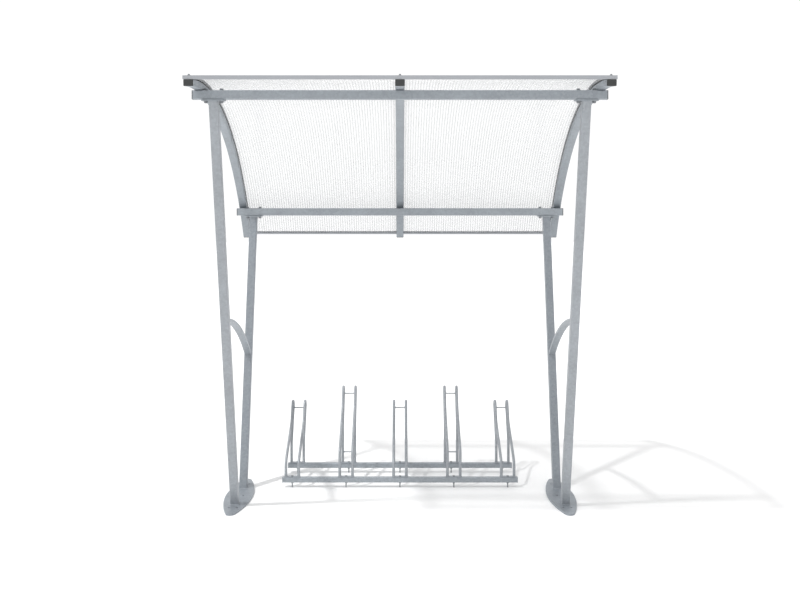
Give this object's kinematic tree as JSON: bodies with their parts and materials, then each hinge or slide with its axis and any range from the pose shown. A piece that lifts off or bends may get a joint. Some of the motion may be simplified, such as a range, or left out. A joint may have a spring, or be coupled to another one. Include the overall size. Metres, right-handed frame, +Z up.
{
  "type": "bike shelter",
  "caption": "Galvanised bike shelter on two V frames with a curved clear multiwall roof and a low and high wheel rack.",
  "frame": {"origin": "on the ground, in the middle of the shelter's overall length and depth", "axes": "+Z up, +X to the right along the beams, +Y from the open front to the lower rear edge"},
  "size_m": [2.25, 1.9548, 2.531],
  "materials": {
    "galvanised_steel": "satin",
    "edge_aluminium": "satin",
    "zinc_bolts": "satin",
    "black_plastic": "matte",
    "seal_rubber": "matte",
    "clear_sheet": "gloss"
  },
  "bodies": {
    "root": {"base_plate_left": "galvanised_steel", "base_plate_right": "galvanised_steel", "front_leg_left": "galvanised_steel", "front_leg_right": "galvanised_steel", "rear_leg_left": "galvanised_steel", "rear_leg_right": "galvanised_steel", "leg_brace_left": "galvanised_steel", "leg_brace_right": "galvanised_steel", "front_head_plates": "galvanised_steel", "rear_head_plates": "galvanised_steel", "front_beam": "galvanised_steel", "rear_beam": "galvanised_steel", "front_beam_caps": "black_plastic", "rear_beam_caps": "black_plastic", "front_beam_bolts": "zinc_bolts", "rear_beam_bolts": "zinc_bolts", "rib_left": "galvanised_steel", "rib_centre": "galvanised_steel", "rib_right": "galvanised_steel", "rib_front_caps": "black_plastic", "rib_rear_caps": "black_plastic", "rib_gussets": "galvanised_steel", "rib_seals": "seal_rubber", "roof_sheet_left": "clear_sheet", "roof_sheet_right": "clear_sheet", "cover_strip_left": "edge_aluminium", "cover_strip_centre": "edge_aluminium", "cover_strip_right": "edge_aluminium", "front_edge_profile": "edge_aluminium", "rear_edge_profile": "edge_aluminium", "edge_profile_screws": "zinc_bolts", "rack_front_rail": "galvanised_steel", "rack_rear_rail": "galvanised_steel", "rack_end_plates": "galvanised_steel", "hoop_foot_plates": "galvanised_steel", "wheel_hoop_1": "galvanised_steel", "wheel_hoop_2": "galvanised_steel", "wheel_hoop_3": "galvanised_steel", "wheel_hoop_4": "galvanised_steel", "wheel_hoop_5": "galvanised_steel", "rack_anchor_bolts": "zinc_bolts"}
  },
  "joints": []
}
